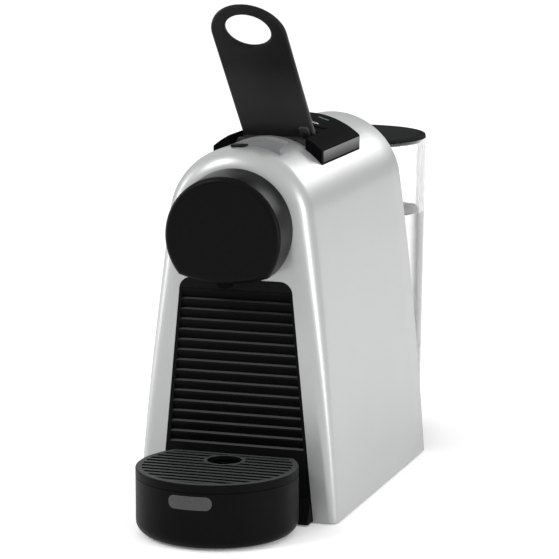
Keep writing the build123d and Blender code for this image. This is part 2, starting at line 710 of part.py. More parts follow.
with BuildPart() as front_bezel:
    with BuildSketch(across(DRAWER_BACK)):
        add(opening(FIT, BEZEL_LOW - OPENING_CORNER, OPENING_TOP - FIT, OPENING_CORNER))
        with Locations((0, BEZEL_LOW)):
            Rectangle(2 * OPENING_HALF, OPENING_TOP, align=(Align.CENTER, Align.MAX), mode=Mode.SUBTRACT)
    extrude(amount=DRAWER_BACK - DRAWER_FACE)
    block((-24, 24), (CHASSIS_FRONT, CHASSIS_FRONT + 2), (BEZEL_LOW, 128.0))
    block((-20, 20), (DRAWER_BACK, CHASSIS_FRONT), (BEZEL_LOW, 126.0))
write(front_bezel, "front_bezel")

with BuildPart() as rib_valleys:
    with BuildSketch(side(-50)):
        for i in range(1, RIB_COUNT):
            edge_z = RIB_TOP - RIB_PITCH * i
            with BuildLine():
                Polyline(
                    (DRAWER_FACE - 1, edge_z + 0.25), (DRAWER_FACE + RIB_DEPTH, edge_z + 0.9),
                    (DRAWER_FACE + 0.15, edge_z + RIB_PITCH - 0.55),
                    (DRAWER_FACE - 1, edge_z + RIB_PITCH - 0.4), close=True,
                )
            make_face()
    extrude(amount=100)
    with BuildSketch(across(DRAWER_BACK)):
        add(opening(0.5 + RIB_FRAME, RIB_TOP - RIB_PITCH * RIB_COUNT, RIB_TOP))
    extrude(amount=10, mode=Mode.INTERSECT)

with BuildPart() as toe:
    with BuildSketch(side(-OPENING_HALF)):
        with BuildLine():
            Polyline(
                (DRAWER_BACK, SHELL_BASE), (TOE_FRONT, SHELL_BASE), (TOE_FRONT, 2.6),
                (DRAWER_FACE, TOE_TOP), (DRAWER_BACK, TOE_TOP), close=True,
            )
        make_face()
    extrude(amount=2 * OPENING_HALF)
    with BuildSketch(across(DRAWER_BACK)):
        add(opening(0.5, SHELL_BASE, TOE_TOP))
    extrude(amount=20, mode=Mode.INTERSECT)
    with BuildSketch(level(0)):
        with Locations((0, TRAY_Y)):
            Circle(TRAY_RADIUS + 0.9)
        with Locations((0, TOE_FRONT)):
            Rectangle(70, 2 * (TRAY_BACK + 0.6 - TOE_FRONT))
        with Locations((0, TRAY_BACK + 0.6)):
            Rectangle(200, 60, align=(Align.CENTER, Align.MIN), mode=Mode.SUBTRACT)
    extrude(amount=30, mode=Mode.SUBTRACT)

with BuildPart() as drawer_front:
    with BuildSketch(across(DRAWER_BACK)):
        add(opening(0.5, SHELL_BASE, DRAWER_TOP))
    extrude(amount=DRAWER_BACK - DRAWER_FACE)
    add(rib_valleys.part, mode=Mode.SUBTRACT)
    add(toe.part)
write(drawer_front, "drawer_front")

with BuildPart() as capsule_bin:
    block((-BIN_HALF, BIN_HALF), (DRAWER_BACK, BIN_REAR), (PLATE_TOP + GAP, BIN_TOP))
    fillet(capsule_bin.edges().filter_by(Axis.Z).group_by(Axis.Y)[-1], 3)
    block((-BIN_HALF + BIN_WALL, BIN_HALF - BIN_WALL), (DRAWER_BACK + BIN_WALL, BIN_REAR - BIN_WALL),
          (PLATE_TOP + GAP + BIN_WALL, BIN_TOP + 1), mode=Mode.SUBTRACT)
write(capsule_bin, "capsule_bin")

with BuildPart() as tray_tongue:
    half, low, high = TONGUE
    block((-half, half), (-130, TRAY_BACK + 0.6), (low, high))
    fillet(tray_tongue.edges().filter_by(Axis.Z).group_by(Axis.Y)[0], 6)
write(tray_tongue, "tray_tongue")


def tray_outline(inset, back):
    """The tray's round outline with its flat back, in plan."""
    with BuildSketch() as outline:
        with Locations((0, TRAY_Y)):
            Circle(TRAY_RADIUS - inset)
        with Locations((0, back)):
            Rectangle(200, 100, align=(Align.CENTER, Align.MIN), mode=Mode.SUBTRACT)
    return outline.sketch


with BuildPart() as drip_tray:
    with BuildSketch(level(TRAY_BOTTOM)):
        add(tray_outline(0, TRAY_BACK))
    extrude(amount=TRAY_TOP - TRAY_BOTTOM)
    rounded = drip_tray.edges().group_by(Axis.Z)[0].filter_by(GeomType.CIRCLE)
    fillet(rounded, 7)
    with BuildSketch(level(TRAY_FLOOR)):
        add(tray_outline(TRAY_WALL, TRAY_BACK - TRAY_WALL))
    extrude(amount=TRAY_TOP, mode=Mode.SUBTRACT)
    half, low, high = TONGUE
    block((-half - GAP, half + GAP), (-130 - GAP, TRAY_BACK + 1), (0, high + GAP),
          mode=Mode.SUBTRACT)
write(drip_tray, "drip_tray")

with BuildPart() as badge_plate:
    width, height, middle = BADGE
    with BuildSketch(across(TRAY_Y)):
        with Locations((0, middle)):
            RectangleRounded(width, height, 3.2)
    extrude(amount=TRAY_RADIUS + 2)
    with BuildSketch(level(0)):
        with Locations((0, TRAY_Y)):
            Circle(TRAY_RADIUS + 0.3)
    extrude(amount=60, mode=Mode.INTERSECT)
    with BuildSketch(level(0)):
        with Locations((0, TRAY_Y)):
            Circle(TRAY_RADIUS)
    extrude(amount=60, mode=Mode.SUBTRACT)
write(badge_plate, "badge_plate")

GRID_LOW = TRAY_TOP + 0.3
with BuildPart() as drip_grid:
    with BuildSketch(level(GRID_LOW)):
        add(tray_outline(0, TRAY_BACK))
    extrude(amount=GRID_TOP - GRID_LOW)
    fillet(drip_grid.edges().group_by(Axis.Z)[-1], 0.8)
    with BuildSketch(level(GRID_LOW - 3)):
        add(tray_outline(TRAY_WALL + 0.3, TRAY_BACK - TRAY_WALL - 0.3))
    extrude(amount=3)
    with BuildSketch(level(GRID_LOW - 3)):
        add(tray_outline(TRAY_WALL + 1.5, TRAY_BACK - TRAY_WALL - 1.5))
    extrude(amount=5.4, mode=Mode.SUBTRACT)
    with BuildSketch(level(GRID_LOW)):
        with Locations((0, TRAY_Y)):
            with GridLocations(0, GRID_PITCH, 1, 15):
                Rectangle(100, GRID_SLOT)
        add(tray_outline(3.2, TRAY_BACK - 3.2), mode=Mode.INTERSECT)
        with Locations((0, GRID_DRAIN_Y)):
            Circle(GRID_DRAIN + 2, mode=Mode.SUBTRACT)
            Circle(GRID_DRAIN)
    extrude(amount=10, mode=Mode.SUBTRACT)
write(drip_grid, "drip_grid")

# ---- water tank behind the shell ---------------------------------------------------------


def tank_outline(inset, front_inset=None):
    """The tank's round outline with its flat front, in plan."""
    flat = TANK_FLAT + (inset if front_inset is None else front_inset)
    with BuildSketch() as outline:
        with Locations((0, TANK_Y)):
            Circle(TANK_RADIUS - inset)
        with Locations((0, flat)):
            Rectangle(200, 200, align=(Align.CENTER, Align.MAX), mode=Mode.SUBTRACT)
    return outline.sketch


with BuildPart() as water_tank:
    with BuildSketch(level(TANK_TOP)):
        add(tank_outline(0))
    extrude(amount=-(TANK_TOP - TANK_BOTTOM), taper=TANK_DRAFT)
    fillet(water_tank.edges().group_by(Axis.Z)[0], 3)
    with BuildSketch(level(TANK_TOP)):
        add(tank_outline(TANK_WALL))
    extrude(amount=-(TANK_TOP - TANK_BOTTOM - TANK_WALL), taper=TANK_DRAFT, mode=Mode.SUBTRACT)
    with BuildSketch(level(0)):
        with Locations((0, VALVE_Y)):
            Circle(4)
    extrude(amount=30, mode=Mode.SUBTRACT)
write(water_tank, "water_tank")

with BuildPart() as tank_lid:
    with BuildSketch(level(TANK_TOP + 0.3)):
        add(tank_outline(0.3))
    extrude(amount=LID_TOP - TANK_TOP - 0.3)
    fillet(tank_lid.edges().group_by(Axis.Z)[-1], 0.8)
    with BuildSketch(level(LID_TOP)):
        add(tank_outline(LID_GROOVE))
        add(tank_outline(LID_GROOVE + 0.6), mode=Mode.SUBTRACT)
    extrude(amount=-0.5, mode=Mode.SUBTRACT)
    with BuildSketch(level(TANK_TOP - LID_PLUG)):
        add(tank_outline(TANK_WALL + 0.5))
    extrude(amount=LID_PLUG + 0.3)
    with BuildSketch(level(TANK_TOP - LID_PLUG)):
        add(tank_outline(TANK_WALL + 2.0))
    extrude(amount=LID_PLUG + 0.3, mode=Mode.SUBTRACT)
write(tank_lid, "tank_lid")

DOCK_Z = 9.6
with BuildPart() as tank_valve:
    rod((0, VALVE_Y, TANK_BOTTOM), (0, VALVE_Y, TANK_BOTTOM - 4.6), 5.6)
    rod((0, VALVE_Y, TANK_BOTTOM), (0, VALVE_Y, TANK_BOTTOM + TANK_WALL), 3.98)
    rod((0, VALVE_Y, TANK_BOTTOM + TANK_WALL), (0, VALVE_Y, TANK_BOTTOM + TANK_WALL + 2), 7)
    rod((0, VALVE_Y, TANK_BOTTOM - 5), (0, VALVE_Y, TANK_BOTTOM + 5), 2, mode=Mode.SUBTRACT)
write(tank_valve, "tank_valve")

with BuildPart() as tank_dock:
    with BuildSketch(level(PLATE_TOP)):
        with Locations((0, VALVE_Y)):
            Circle(9)
        with Locations((0, (VALVE_Y + SHELL_REAR + 1) / 2)):
            Rectangle(10, VALVE_Y - SHELL_REAR - 1)
    extrude(amount=TANK_BOTTOM - GAP - PLATE_TOP)
    rod((0, SHELL_REAR + 2, DOCK_Z), (0, 73, DOCK_Z), 3.2)
    rod((0, VALVE_Y, DOCK_Z - 1), (0, VALVE_Y, TANK_BOTTOM), 6.2, mode=Mode.SUBTRACT)
    rod((0, VALVE_Y, DOCK_Z), (0, 72, DOCK_Z), 1.8, mode=Mode.SUBTRACT)
write(tank_dock, "tank_dock")

# ---- control panel ------------------------------------------------------------------------
BOARD_Z = 181.0
BOARD_THICK = 1.6
SWITCH_TOP = 188.0
BUTTON_LOW = SWITCH_TOP + 1.6


def button(name, x):
    """A round button that follows the panel's arched top, with a collar beneath it."""
    with BuildPart() as piece:
        with BuildSketch(level(BUTTON_LOW)):
            with Locations((x, BUTTON_Y)):
                Circle(BUTTON_RADIUS)
        extrude(amount=30)
        with BuildSketch(across(INSERT_REAR)):
            add(insert_profile(-BUTTON_PROUD))
        extrude(amount=80, mode=Mode.INTERSECT)
    write(piece, name)


button("button_espresso", -BUTTON_X)
button("button_lungo", BUTTON_X)

with BuildPart() as control_board:
    block((-25, 25), (-9.5, 26), (BOARD_Z, BOARD_Z + BOARD_THICK))
write(control_board, "control_board")

with BuildPart() as tactile_switches:
    for x in (-BUTTON_X, BUTTON_X):
        block((x - 3, x + 3), (BUTTON_Y - 3, BUTTON_Y + 3), (BOARD_Z + BOARD_THICK, SWITCH_TOP - 1.5))
        rod((x, BUTTON_Y, SWITCH_TOP - 1.5), (x, BUTTON_Y, SWITCH_TOP), 1.6)
write(tactile_switches, "tactile_switches")

with BuildPart() as power_board:
    block((-26, 26), (69.5, 71.1), (60, 150))
    block((-20, 4), (56, 69.5), (70, 98))
    for x in (-14, 2, 18):
        rod((x, 69.5, 130), (x, 54, 130), 6)
write(power_board, "power_board")

# ---- water circuit --------------------------------------------------------------------------
with BuildPart() as pump:
    rod((0, PUMP_Y[0], PUMP_Z), (0, PUMP_Y[1], PUMP_Z), PUMP_RADIUS)
    rod((0, PUMP_Y[0] - 6, PUMP_Z), (0, PUMP_Y[0], PUMP_Z), 4)
    rod((0, PUMP_Y[1], PUMP_Z), (0, PUMP_Y[1] + 4, PUMP_Z), 3.2)
    block((-13, 13), (20, 42), (PUMP_Z - 20, PUMP_Z + 20))
write(pump, "pump")

with BuildPart() as pump_mounts:
    for y in (6, 50):
        block((-20, 20), (y, y + 6), (PLATE_TOP, PUMP_Z))
    rod((0, 0, PUMP_Z), (0, 60, PUMP_Z), PUMP_RADIUS + 0.02, mode=Mode.SUBTRACT)
write(pump_mounts, "pump_mounts")

with BuildPart() as thermoblock:
    block((-25, 25), HEATER_Y, HEATER_Z)
    fillet(thermoblock.edges().filter_by(Axis.Z), 6)
write(thermoblock, "thermoblock")

with BuildPart() as thermostat:
    rod((0, HEATER_Y[1], 150), (0, HEATER_Y[1] + 3, 150), 9)
    rod((0, HEATER_Y[1] + 3, 150), (0, HEATER_Y[1] + 8, 150), 7)
write(thermostat, "thermostat")

with BuildPart() as heater_brackets:
    for x in both_sides((25.0, CHASSIS_X[0])):
        block(x, (8, 28), (112.0, 146.0))
write(heater_brackets, "heater_brackets")

METER_TOP = 19.0
with BuildPart() as flow_meter:
    x, y = METER
    rod((x, y, PLATE_TOP), (x, y, METER_TOP), 9.5)
    rod((x, y, DOCK_Z), (x - 13, y, DOCK_Z), 2.6)
    rod((x, y + 4, METER_TOP), (x, y + 4, METER_TOP + 4), 2.6)
write(flow_meter, "flow_meter")

supply_hose = hose([(0, 73, DOCK_Z), (0, METER[1], DOCK_Z), (METER[0] - 13, METER[1], DOCK_Z)])
write(supply_hose, "supply_hose")
pump_hose = hose([
    (METER[0], METER[1] + 4, METER_TOP + 4), (METER[0], METER[1] + 4, PUMP_Z),
    (0, METER[1] + 4, PUMP_Z), (0, PUMP_Y[1] + 4, PUMP_Z),
])
write(pump_hose, "pump_hose")
HOSE_Y = -13.0
pressure_hose = hose([
    (0, PUMP_Y[0] - 6, PUMP_Z), (0, HOSE_Y, PUMP_Z), (0, HOSE_Y, 99), (0, 8, 99),
    (0, 8, HEATER_Z[0]),
])
write(pressure_hose, "pressure_hose")
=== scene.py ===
"""Pod coffee machine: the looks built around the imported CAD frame. Metres, -Y is the front."""

import json
import math

import bmesh
import bpy
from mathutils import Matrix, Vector


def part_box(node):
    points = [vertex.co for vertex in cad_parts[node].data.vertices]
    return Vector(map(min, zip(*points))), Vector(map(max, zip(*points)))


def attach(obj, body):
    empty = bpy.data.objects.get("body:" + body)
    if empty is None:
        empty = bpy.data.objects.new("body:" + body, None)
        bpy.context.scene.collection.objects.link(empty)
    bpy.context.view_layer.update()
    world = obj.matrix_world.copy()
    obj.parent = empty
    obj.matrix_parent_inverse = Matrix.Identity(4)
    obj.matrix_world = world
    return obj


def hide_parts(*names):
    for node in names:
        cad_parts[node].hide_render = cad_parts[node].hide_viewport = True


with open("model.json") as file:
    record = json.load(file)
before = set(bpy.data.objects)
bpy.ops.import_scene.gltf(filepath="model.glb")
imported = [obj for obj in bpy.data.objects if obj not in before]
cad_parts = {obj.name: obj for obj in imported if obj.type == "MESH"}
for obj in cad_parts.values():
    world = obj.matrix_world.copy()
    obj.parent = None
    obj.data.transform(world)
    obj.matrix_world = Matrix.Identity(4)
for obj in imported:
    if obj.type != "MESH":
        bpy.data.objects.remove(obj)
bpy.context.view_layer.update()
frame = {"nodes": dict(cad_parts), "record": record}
MM = 0.001
scene = bpy.context.scene


# ---- camera, light and stage ------------------------------------------------------------
CAMERA_AZIMUTH = 18.28
CAMERA_ELEVATION = 10.23
CAMERA_AT = (0.46862, -1.43706, 0.38364)
CAMERA_LENS = 180.64
SENSOR_WIDTH = 36
CAMERA_FAR = 20
WORLD_TONES = ((0.0, 0.45), (0.2, 0.5), (0.34, 0.95), (1.0, 1.0))  # how far up, and grey
WORLD_STRENGTH = 1.05
LIGHTS = (  # name, place, target, size, power in watts
    ("key_left", (-1.0, -1.1, 1.3), (0, 0, 0.15), (0.5, 0.5), 13),
    ("strip_right", (0.95, -0.3, 0.3), (0, 0, 0.12), (0.1, 0.6), 4.5),
    ("strip_left", (-0.97, -0.1, 0.3), (0, 0, 0.12), (0.1, 0.6), 2.5),
    ("shoulder_panel", (0.6, 1.7, 0.85), (0, 0, 0.15), (0.6, 0.6), 6),
)
FLOOR_HALF = 9.0
FLOOR_GLOW = 0.12


def add_camera():
    """The viewing angle: from the front, a little to the right and above."""
    camera = bpy.data.objects.new("camera", bpy.data.cameras.new("camera"))
    scene.collection.objects.link(camera)
    camera.location = CAMERA_AT
    camera.rotation_euler = (
        math.radians(90 - CAMERA_ELEVATION), 0, math.radians(CAMERA_AZIMUTH)
    )
    camera.data.lens = CAMERA_LENS
    camera.data.sensor_width = SENSOR_WIDTH
    camera.data.clip_end = CAMERA_FAR
    scene.camera = camera


def add_area_light(name, place, target, size, power):
    """A soft box at a place, aimed at a target; it lights but isn't seen itself."""
    light = bpy.data.lights.new(name, "AREA")
    light.shape = "RECTANGLE"
    light.size, light.size_y = size
    light.energy = power
    lamp = bpy.data.objects.new(name, light)
    scene.collection.objects.link(lamp)
    lamp.location = place
    aim = Vector(target) - Vector(place)
    lamp.rotation_euler = aim.to_track_quat("-Z", "Y").to_euler()
    lamp.visible_camera = False


def add_world():
    """A studio tent: dimmer walls at the horizon and a bright ceiling."""
    world = bpy.data.worlds.new("studio")
    scene.world = world
    world.use_nodes = True
    tree = world.node_tree
    place = tree.nodes.new("ShaderNodeTexCoord")
    split = tree.nodes.new("ShaderNodeSeparateXYZ")
    ramp = tree.nodes.new("ShaderNodeValToRGB")
    grey_stops(ramp, WORLD_TONES)
    tree.links.new(place.outputs["Generated"], split.inputs["Vector"])
    tree.links.new(split.outputs["Z"], ramp.inputs["Fac"])
    tree.links.new(ramp.outputs["Color"], tree.nodes["Background"].inputs["Color"])
    tree.nodes["Background"].inputs["Strength"].default_value = WORLD_STRENGTH


def add_lights():
    """A key from the upper left, upright strips for the rims, a panel behind for the shoulder."""
    add_world()
    for light in LIGHTS:
        add_area_light(*light)


def add_floor():
    """A plain pale floor that reaches far behind the machine."""
    mesh = bpy.data.meshes.new("floor")
    corners = [(sx * FLOOR_HALF, sy * FLOOR_HALF, 0) for sx, sy in ((-1, -1), (1, -1), (1, 1), (-1, 1))]
    mesh.from_pydata(corners, [], [(0, 1, 2, 3)])
    floor = bpy.data.objects.new("floor", mesh)
    scene.collection.objects.link(floor)
    material, shader = new_material("floor_white", (0.93, 0.93, 0.93), 0.7, Specular_IOR_Level=0.1)
    shader.inputs["Emission Color"].default_value = (1, 1, 1, 1)
    shader.inputs["Emission Strength"].default_value = FLOOR_GLOW
    floor.data.materials.append(material)


# ---- materials ---------------------------------------------------------------------------
FINE_DETAIL = 3.0
FLECK_DETAIL = 2.0
FLECK_STOPS = (0.3, 0.7)
GRAIN_HEIGHT = 0.0002
LEDGE_HIGHLIGHT_NORMAL = (0.7, 0.95)  # upward part of the normal where the painted highlight on a ledge starts and is complete
WATERLINE = 0.5  # height over which the tank's painted edge shade goes from its below-water greys to its dry greys, in millimetres


def grey_stops(ramp, stops):
    """Replaces a colour ramp's own two stops with greys at the given positions."""
    for position, grey in stops:
        stop = ramp.color_ramp.elements.new(position)
        stop.color = (grey, grey, grey, 1)
    ramp.color_ramp.elements.remove(ramp.color_ramp.elements[0])
    ramp.color_ramp.elements.remove(ramp.color_ramp.elements[-1])


def new_material(name, colour, roughness, **sockets):
    """A node material with its shader; further sockets are set by name."""
    material = bpy.data.materials.new(name)
    material.use_nodes = True
    shader = material.node_tree.nodes["Principled BSDF"]
    shader.inputs["Base Color"].default_value = (*colour, 1)
    shader.inputs["Roughness"].default_value = roughness
    for socket, value in sockets.items():
        shader.inputs[socket.replace("_", " ")].default_value = value
    return material, shader


def noise_field(tree, scale, detail):
    """Noise in object space."""
    place = tree.nodes.new("ShaderNodeTexCoord")
    noise = tree.nodes.new("ShaderNodeTexNoise")
    noise.inputs["Scale"].default_value = scale
    noise.inputs["Detail"].default_value = detail
    tree.links.new(place.outputs["Object"], noise.inputs["Vector"])
    return noise


def grain(material, shader, scale, depth):
    """A fine moulded or painted grain through a bump."""
    tree = material.node_tree
    noise = noise_field(tree, scale, FINE_DETAIL)
    bump = tree.nodes.new("ShaderNodeBump")
    bump.inputs["Strength"].default_value = depth
    bump.inputs["Distance"].default_value = GRAIN_HEIGHT
    tree.links.new(noise.outputs["Fac"], bump.inputs["Height"])
    tree.links.new(bump.outputs["Normal"], shader.inputs["Normal"])


def vary(material, shader, socket, scale, low, high):
    """A socket's value that wanders softly over the surface."""
    tree = material.node_tree
    noise = noise_field(tree, scale, FINE_DETAIL)
    spread = tree.nodes.new("ShaderNodeMapRange")
    spread.inputs["To Min"].default_value = low
    spread.inputs["To Max"].default_value = high
    tree.links.new(noise.outputs["Fac"], spread.inputs["Value"])
    tree.links.new(spread.outputs["Result"], shader.inputs[socket])


def fleck(material, shader, scale, dark, light):
    """Colour that varies finely between two shades, as pigment and flakes do."""
    tree = material.node_tree
    noise = noise_field(tree, scale, FLECK_DETAIL)
    ramp = tree.nodes.new("ShaderNodeValToRGB")
    for stop, position, colour in zip(ramp.color_ramp.elements, FLECK_STOPS, (dark, light)):
        stop.position = position
        stop.color = (*colour, 1)
    tree.links.new(noise.outputs["Fac"], ramp.inputs["Fac"])
    tree.links.new(ramp.outputs["Color"], shader.inputs["Base Color"])


def silver_paint():
    """Satin silver paint: fine flakes, a faint grain and a thin coat."""
    material, shader = new_material(
        "silver_paint", (0.37, 0.372, 0.375), 0.36, Metallic=0.5, Coat_Weight=0.05, Coat_Roughness=0.25
    )
    fleck(material, shader, 5200, (0.34, 0.342, 0.345), (0.4, 0.402, 0.405))
    grain(material, shader, 2600, 0.08)
    vary(material, shader, "Roughness", 35, 0.33, 0.39)
    return material


def plastic(name, colour, low, high, level=0.5, grain_scale=1400, grain_depth=0.2, spread=0.15):
    """Moulded plastic: a fine texture, pigment variation and uneven gloss."""
    material, shader = new_material(name, colour, low, Specular_IOR_Level=level)
    grain(material, shader, grain_scale, grain_depth)
    fleck(material, shader, 900, [(1 - spread) * c for c in colour], [(1 + spread) * c for c in colour])
    vary(material, shader, "Roughness", 60, low, high)
    return material


def fade_up(tree, field, start, end):
    """A factor from 0 to 1 as Z goes from start to end, in the object's own places or normals."""
    source = tree.nodes.new("ShaderNodeTexCoord")
    split = tree.nodes.new("ShaderNodeSeparateXYZ")
    fade = tree.nodes.new("ShaderNodeMapRange")
    fade.inputs["From Min"].default_value = start
    fade.inputs["From Max"].default_value = end
    tree.links.new(source.outputs[field], split.inputs["Vector"])
    tree.links.new(split.outputs["Z"], fade.inputs["Value"])
    return fade.outputs["Result"]


def find_socket(sockets, name):
    """The colour socket of a mix node, which has one of each name per data type."""
    return next(one for one in sockets if one.name == name and one.type == "RGBA")


def blend_base(material, shader, factor, colour):
    """The base colour goes over to another one where the factor is 1."""
    tree = material.node_tree
    mix = tree.nodes.new("ShaderNodeMix")
    mix.data_type = "RGBA"
    find_socket(mix.inputs, "B").default_value = (*colour, 1)
    tree.links.new(shader.inputs["Base Color"].links[0].from_socket, find_socket(mix.inputs, "A"))
    tree.links.new(factor, mix.inputs["Factor"])
    tree.links.new(find_socket(mix.outputs, "Result"), shader.inputs["Base Color"])


def ledge_highlight_plastic(name, colour, ledge_highlight):
    """Black plastic with a painted highlight: its upward ledges are lighter, as light from above would make
    them.
    """
    material = plastic(name, colour, 0.4, 0.48, 0.03)
    tree = material.node_tree
    factor = fade_up(tree, "Normal", *LEDGE_HIGHLIGHT_NORMAL)
    blend_base(material, tree.nodes["Principled BSDF"], factor, ledge_highlight)
    return material


def painted_light_plastic(name, colour, lit_colour, start, end):
    """Plastic with painted light: its colour goes over to a lighter one between two heights."""
    material = plastic(name, colour, 0.3, 0.38, 0.04, 900, 0.03)
    tree = material.node_tree
    factor = fade_up(tree, "Object", start, end)
    blend_base(material, tree.nodes["Principled BSDF"], factor, lit_colour)
    return material


def clear(name, colour, ior, edge_shade):
    """A transparent solid, with slight roughness from handling, darker where it is seen edge-on: painted
    shade in its base colour.

    The greys by facing, for below and above the water level, are that painted shade."""
    material, shader = new_material(name, colour, 0.0, IOR=ior, Transmission_Weight=1.0)
    vary(material, shader, "Roughness", 40, 0.0, 0.02)
    tree = material.node_tree
    weight = tree.nodes.new("ShaderNodeLayerWeight")
    factor = fade_up(tree, "Object", WATER_LEVEL * MM, (WATER_LEVEL + WATERLINE) * MM)
    mix = tree.nodes.new("ShaderNodeMix")
    mix.data_type = "RGBA"
    tree.links.new(factor, mix.inputs["Factor"])
    for socket, stops in zip("AB", edge_shade):
        ramp = tree.nodes.new("ShaderNodeValToRGB")
        grey_stops(ramp, stops)
        tree.links.new(weight.outputs["Facing"], ramp.inputs["Fac"])
        tree.links.new(ramp.outputs["Color"], find_socket(mix.inputs, socket))
    tree.links.new(find_socket(mix.outputs, "Result"), shader.inputs["Base Color"])
    return material


def metal(name, colour, low, high):
    """Bare metal with a fine grain and uneven gloss."""
    material, shader = new_material(name, colour, low, Metallic=1.0)
    grain(material, shader, 900, 0.15)
    vary(material, shader, "Roughness", 80, low, high)
    return material


BLACK = (0.004, 0.004, 0.0045)
TRAY_BLACK = (0.003, 0.003, 0.0033)
WATER_LEVEL = 132.5
# Painted shade for the clear plastic and the water: greys by facing, darker where seen edge-on, standing in
# for the dark surroundings seen through them.
ABOVE_WATER_EDGE_SHADE = (
    (0.01, 0.98), (0.6, 0.9), (0.67, 0.28), (0.71, 0.2), (0.76, 0.34), (0.8, 0.32), (0.84, 0.2), (0.92, 0.4)
)
BELOW_WATER_EDGE_SHADE = ((0.01, 0.98), (0.46, 0.85), (0.56, 0.36), (0.66, 0.1), (0.74, 0.04), (0.82, 0.08), (0.9, 0.1))
WATER_EDGE_SHADE = ((0.01, 0.97), (0.5, 0.93), (0.99, 0.93))
MATERIALS = {
    "silver_shell": silver_paint(),
    "dark_plastic": plastic("dark_plastic", (0.006, 0.006, 0.0065), 0.45, 0.6, 0.15),
    "frame_plastic": plastic("frame_plastic", (0.03, 0.03, 0.032), 0.45, 0.6, 0.3),
    "matte_black": plastic("matte_black", BLACK, 0.4, 0.48, 0.055),
    "tray_black": plastic("tray_black", TRAY_BLACK, 0.36, 0.44, 0.035),
    # Painted light: the lever's colour grows lighter towards its lower end.
    "lever_black": painted_light_plastic("lever_black", (0.01, 0.01, 0.0105), (0.036, 0.036, 0.037), 0.235, 0.2),
    "gloss_black": plastic("gloss_black", (0.003, 0.003, 0.0035), 0.36, 0.42, 0.002, 600, 0.03),
    "chute_grey": plastic("chute_grey", (0.26, 0.265, 0.27), 0.25, 0.35, 0.5, 900, 0.02, 0.03),
    "badge_grey": plastic("badge_grey", (0.02, 0.02, 0.021), 0.12, 0.2, 0.5, 600, 0.03),
    "clear_plastic": clear("clear_plastic", (0.985, 0.99, 0.995), 1.49, (BELOW_WATER_EDGE_SHADE, ABOVE_WATER_EDGE_SHADE)),
    "rubber": plastic("rubber", (0.01, 0.01, 0.01), 0.7, 0.85, 0.3),
    "silicone": plastic("silicone", (0.6, 0.6, 0.57), 0.35, 0.5, 0.5, 900, 0.05),
    "steel": metal("steel", (0.55, 0.55, 0.55), 0.25, 0.38),
    "pump_steel": metal("pump_steel", (0.45, 0.45, 0.45), 0.3, 0.45),
    "cast_aluminium": metal("cast_aluminium", (0.6, 0.6, 0.61), 0.45, 0.6),
    "circuit_board": plastic("circuit_board", (0.01, 0.09, 0.035), 0.3, 0.45),
}
# The water: a faint painted shade where it is seen edge-on.
WATER = clear("water", (0.985, 0.99, 0.995), 1.333, (WATER_EDGE_SHADE, WATER_EDGE_SHADE))
PRINT_WHITE = plastic("print_white", (0.75, 0.75, 0.75), 0.35, 0.45, 0.4, 900, 0.02)
# Painted highlight: the side panes grow lighter towards their upper edge.
SIDE_PANE = painted_light_plastic("side_pane", (0.012, 0.012, 0.0125), (0.15, 0.15, 0.15), 0.1825, 0.1885)
# The drip grid: black with a painted highlight on its upward ledges.
GRID_BLACK = ledge_highlight_plastic("grid_black", TRAY_BLACK, (0.05, 0.053, 0.053))
LID_BLACK = plastic("lid_black", (0.012, 0.0125, 0.0125), 0.48, 0.55, 0.003)
DRUM_BLACK = plastic("drum_black", (0.003, 0.003, 0.0034), 0.3, 0.36, 0.05)
# The drawer front's ribs: black with a painted highlight on their upward ledges.
RIB_BLACK = ledge_highlight_plastic("rib_black", BLACK, (0.065, 0.065, 0.065))
INDICATOR = plastic("indicator_green", (0.03, 0.11, 0.05), 0.2, 0.3, 0.4, 900, 0.02)
VARIANTS = {  # CAD nodes whose material differs a little from their slot's; the grid's and the ribs' carry a painted highlight on their upward ledges
    "drip_grid": GRID_BLACK,
    "tank_lid": LID_BLACK,
    "drawer_front": RIB_BLACK,
    "outlet_drum": DRUM_BLACK,
}


def dress_frame():
    """Every CAD node takes the material of its slot, or its own variant of it."""
    for entry in frame["record"]["subparts"]:
        mesh = frame["nodes"][entry["node"]].data
        mesh.materials.clear()
        mesh.materials.append(MATERIALS[entry["material_slot"]])
    for node, material in VARIANTS.items():
        frame["nodes"][node].data.materials[0] = material


# ---- mesh helpers ------------------------------------------------------------------------
def mesh_from(name, build):
    """A mesh from a bmesh builder, with its faces turned outward."""
    shape = bmesh.new()
    build(shape)
    bmesh.ops.recalc_face_normals(shape, faces=shape.faces)
    mesh = bpy.data.meshes.new(name)
    shape.to_mesh(mesh)
    shape.free()
    return mesh


def new_piece(name, build, material, body, smooth_angle=35.0):
    """A finished piece from a bmesh builder."""
    return finish_piece(name, mesh_from(name, build), material, body, smooth_angle)


def finish_piece(name, mesh, material, body, smooth_angle):
    """A mesh becomes a piece: painted, smooth below an angle in degrees, and riding on its body."""
    mesh.name = name
    mesh.materials.clear()
    mesh.materials.append(material)
    for face in mesh.polygons:
        face.use_smooth = True
    mesh.set_sharp_from_angle(angle=math.radians(smooth_angle))
    piece = bpy.data.objects.new(name, mesh)
    scene.collection.objects.link(piece)
    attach(piece, body)
    return piece


def loft(shape, rings):
    """Quads between closed rings of points in millimetres, and caps on the ends."""
    rows = [[shape.verts.new([c * MM for c in point]) for point in ring] for ring in rings]
    count = len(rows[0])
    for a, b in zip(rows, rows[1:]):
        for i in range(count):
            j = (i + 1) % count
            shape.faces.new((a[i], a[j], b[j], b[i]))
    shape.faces.new(rows[0])
    shape.faces.new(rows[-1])


def loft_mesh(name, rings):
    """A closed mesh from rings."""
    return mesh_from(name, lambda shape: loft(shape, rings))


def prism(outline, place, low, high):
    """A mesh for a plan or front outline between two levels; place(u, v, w) -> point."""
    return loft_mesh("cutter", [[place(u, v, w) for u, v in outline] for w in (low, high)])


